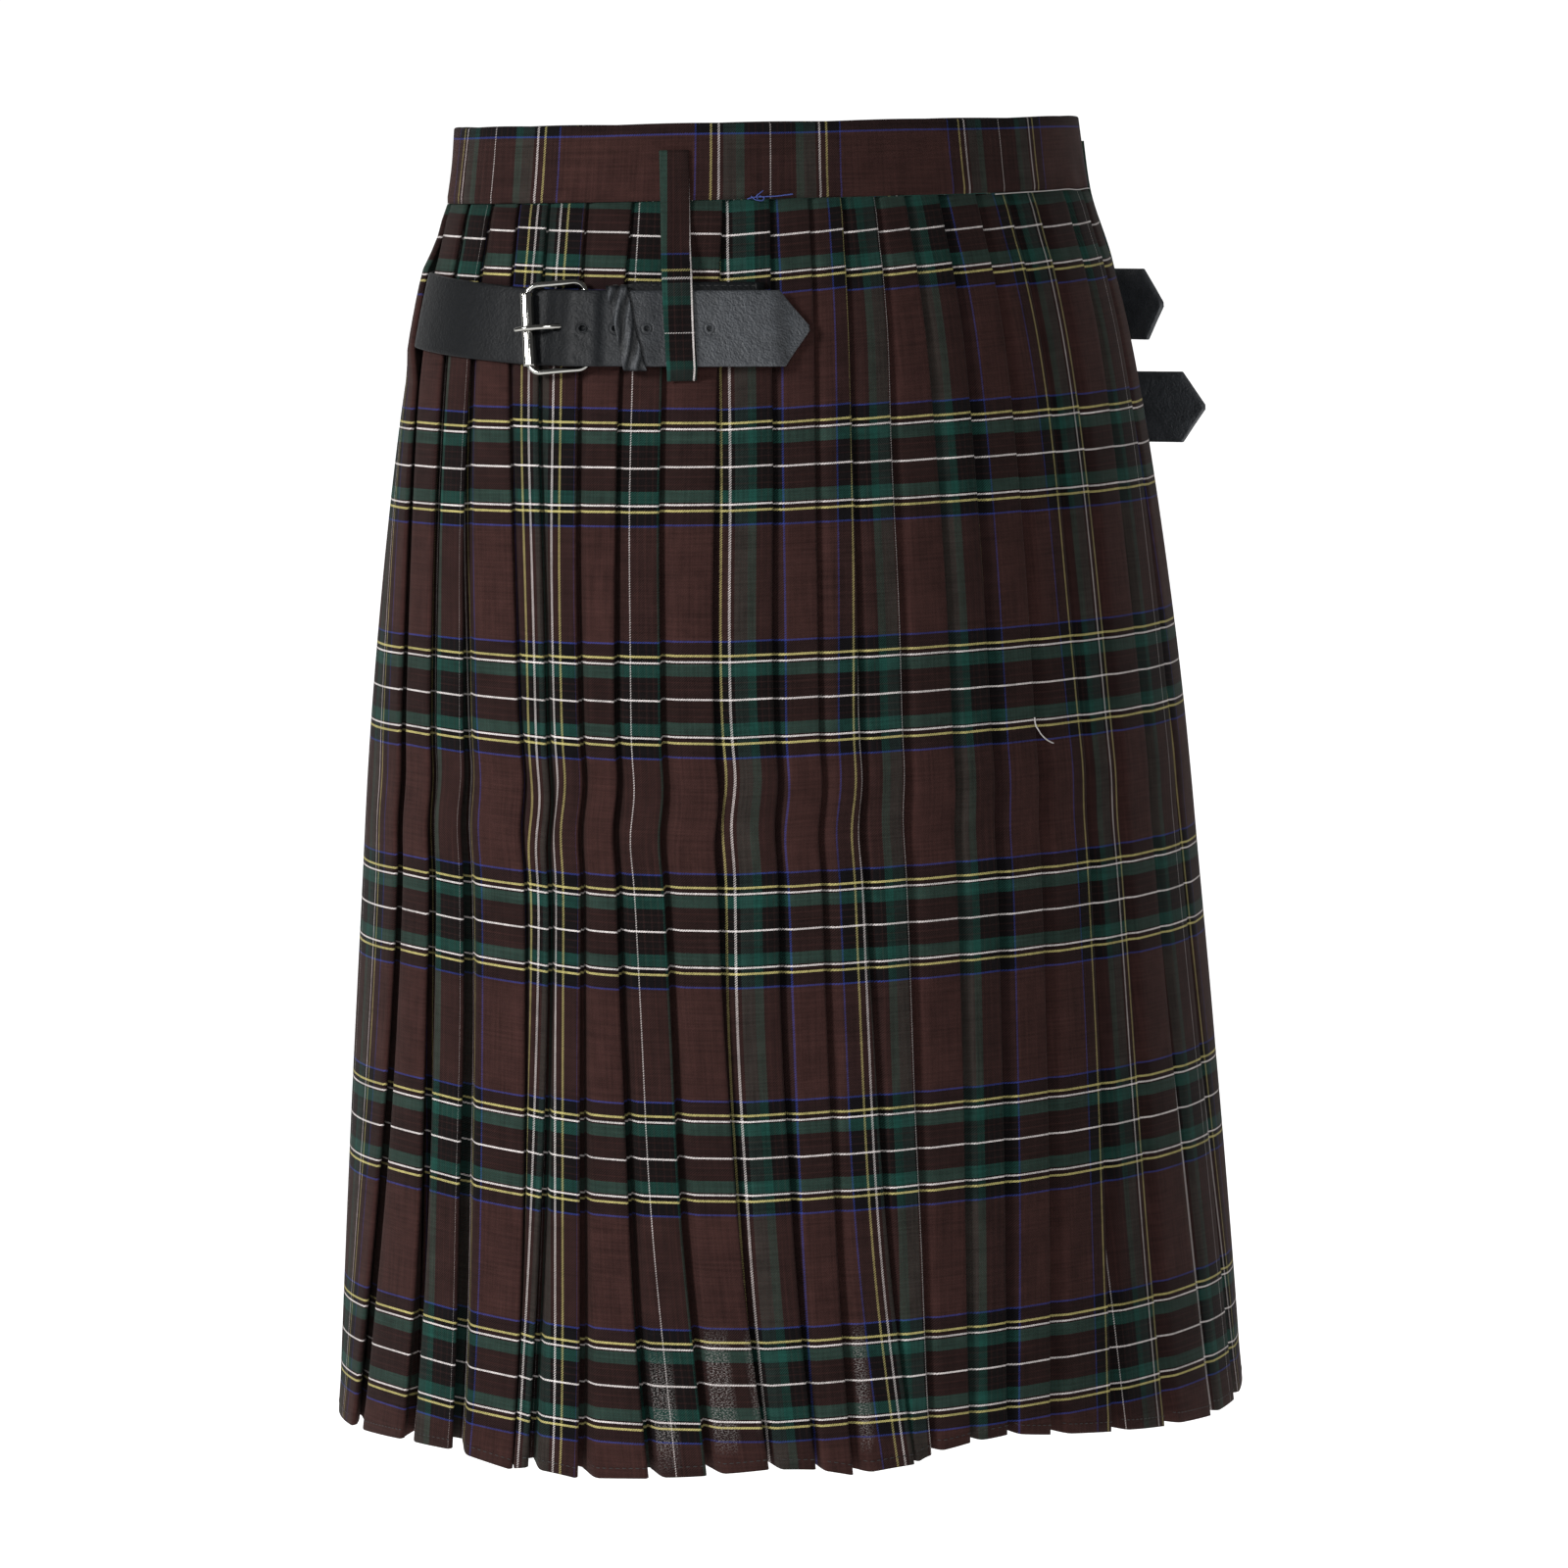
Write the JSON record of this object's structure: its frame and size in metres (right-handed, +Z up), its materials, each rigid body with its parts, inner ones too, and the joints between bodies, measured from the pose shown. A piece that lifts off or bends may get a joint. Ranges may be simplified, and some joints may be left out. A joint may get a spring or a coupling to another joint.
{
  "type": "tartan kilt",
  "caption": "Worn-form knife-pleated kilt, hollow and open at waist and hem, with a waistband, crossed flat aprons, belt loops and buckled hip straps.",
  "frame": {"origin": "the middle of the waistband's ring, at half its height, where the wearer's waist holds the kilt", "axes": "+Z up, +X to the wearer's left, +Y to the wearer's back, so the flat over apron faces -Y"},
  "size_m": [0.4644, 0.381, 0.6149],
  "materials": {
    "tartan_cloth": "matte twill",
    "black_leather": "satin",
    "nickel_plate": "polished"
  },
  "bodies": {
    "root": {"waistband": "tartan_cloth", "over_apron": "tartan_cloth", "under_apron": "tartan_cloth", "pleats_left": "tartan_cloth", "pleats_back": "tartan_cloth", "pleats_right": "tartan_cloth", "belt_loop_left": "tartan_cloth", "belt_loop_right": "tartan_cloth", "left_strap": "black_leather", "left_tab": "black_leather", "left_keeper": "black_leather", "left_buckle_frame": "nickel_plate", "left_roller": "nickel_plate", "left_prong": "nickel_plate", "right_upper_strap": "black_leather", "right_upper_tab": "black_leather", "right_upper_keeper": "black_leather", "right_upper_buckle_frame": "nickel_plate", "right_upper_roller": "nickel_plate", "right_upper_prong": "nickel_plate", "right_lower_strap": "black_leather", "right_lower_tab": "black_leather", "right_lower_keeper": "black_leather", "right_lower_buckle_frame": "nickel_plate", "right_lower_roller": "nickel_plate", "right_lower_prong": "nickel_plate"}
  },
  "joints": []
}
